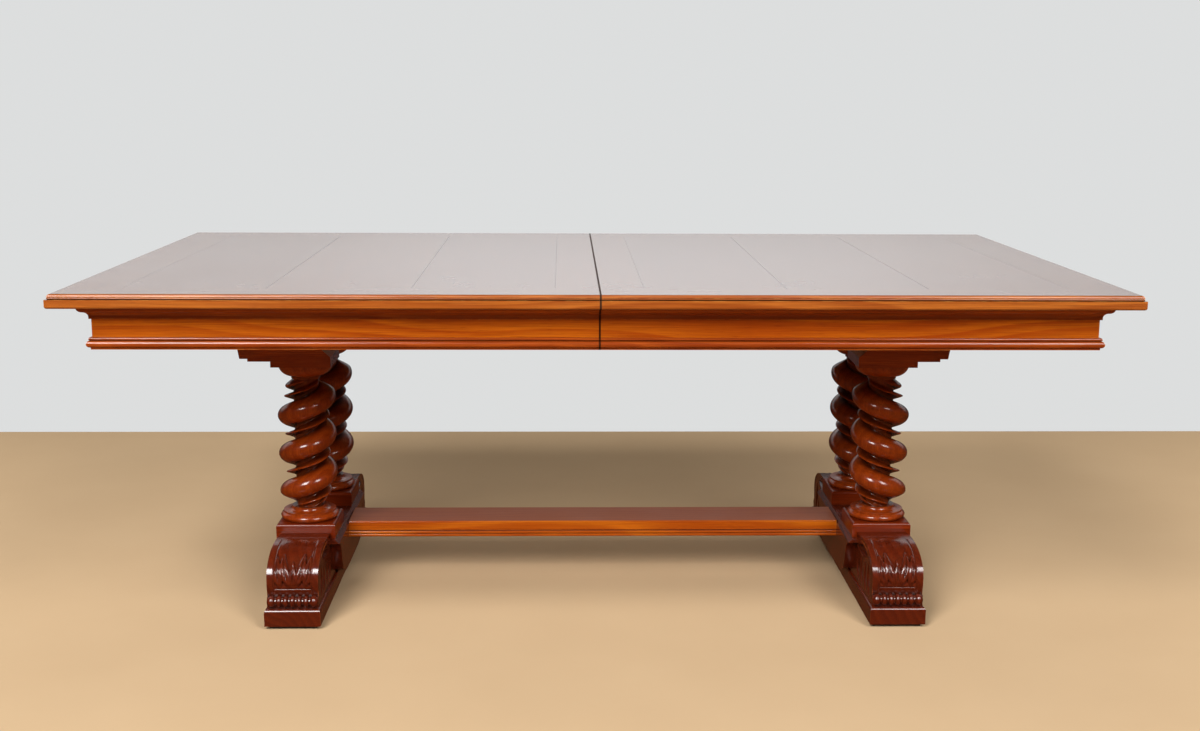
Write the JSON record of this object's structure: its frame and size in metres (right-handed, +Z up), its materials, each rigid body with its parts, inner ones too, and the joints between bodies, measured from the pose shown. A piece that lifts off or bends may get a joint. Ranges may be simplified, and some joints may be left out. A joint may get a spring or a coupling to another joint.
{
  "type": "extending dining table",
  "caption": "Extending dining table: the framed top parts at the middle and its halves slide outward on grooved guide rails above twisted columns, carved scroll feet and a low stretcher.",
  "frame": {"origin": "on the floor under the middle of the closed table", "axes": "+X along the table to the right of a person at the front, +Y to the back, +Z up"},
  "size_m": [2.09, 1.18, 0.74],
  "materials": {
    "dark_walnut": "gloss",
    "honey_walnut": "satin",
    "top_walnut": "satin",
    "frame_wood": "matt",
    "pad_wood": "matt",
    "screw_steel": "satin"
  },
  "bodies": {
    "base": {"floor_pads": "pad_wood", "left_plinth": "dark_walnut", "left_foot": "dark_walnut", "left_cheek": "dark_walnut", "left_bearer": "frame_wood", "left_front_block": "dark_walnut", "left_front_column": "dark_walnut", "left_front_abacus": "dark_walnut", "left_front_corbel": "dark_walnut", "left_back_block": "dark_walnut", "left_back_column": "dark_walnut", "left_back_abacus": "dark_walnut", "left_back_corbel": "dark_walnut", "right_plinth": "dark_walnut", "right_foot": "dark_walnut", "right_cheek": "dark_walnut", "right_bearer": "frame_wood", "right_front_block": "dark_walnut", "right_front_column": "dark_walnut", "right_front_abacus": "dark_walnut", "right_front_corbel": "dark_walnut", "right_back_block": "dark_walnut", "right_back_column": "dark_walnut", "right_back_abacus": "dark_walnut", "right_back_corbel": "dark_walnut", "stretcher": "honey_walnut", "stretcher_pegs": "frame_wood", "front_guide_rail": "frame_wood", "back_guide_rail": "frame_wood", "rail_screws": "screw_steel", "guide_stops": "frame_wood"},
    "left_half": {"left_front_rail": "top_walnut", "left_back_rail": "top_walnut", "left_end_stile": "top_walnut", "left_joint_stile": "top_walnut", "left_top_boards": "top_walnut", "left_front_apron": "honey_walnut", "left_end_apron": "honey_walnut", "left_back_apron": "honey_walnut", "left_cornice": "honey_walnut", "left_skirt_moulding": "honey_walnut", "left_front_runner": "frame_wood", "left_back_runner": "frame_wood", "left_runner_stops": "frame_wood", "left_battens": "frame_wood", "joint_dowels": "frame_wood"},
    "right_half": {"right_front_rail": "top_walnut", "right_back_rail": "top_walnut", "right_end_stile": "top_walnut", "right_joint_stile": "top_walnut", "right_top_boards": "top_walnut", "right_front_apron": "honey_walnut", "right_end_apron": "honey_walnut", "right_back_apron": "honey_walnut", "right_cornice": "honey_walnut", "right_skirt_moulding": "honey_walnut", "right_front_runner": "frame_wood", "right_back_runner": "frame_wood", "right_runner_stops": "frame_wood", "right_battens": "frame_wood"}
  },
  "joints": [
    {"name": "left_slide", "type": "slide", "parent": "base", "child": "left_half", "axis": [-1, 0, 0], "range_m": [0, 0.5]},
    {"name": "right_slide", "type": "slide", "parent": "base", "child": "right_half", "axis": [1, 0, 0], "range_m": [0, 0.5]}
  ]
}
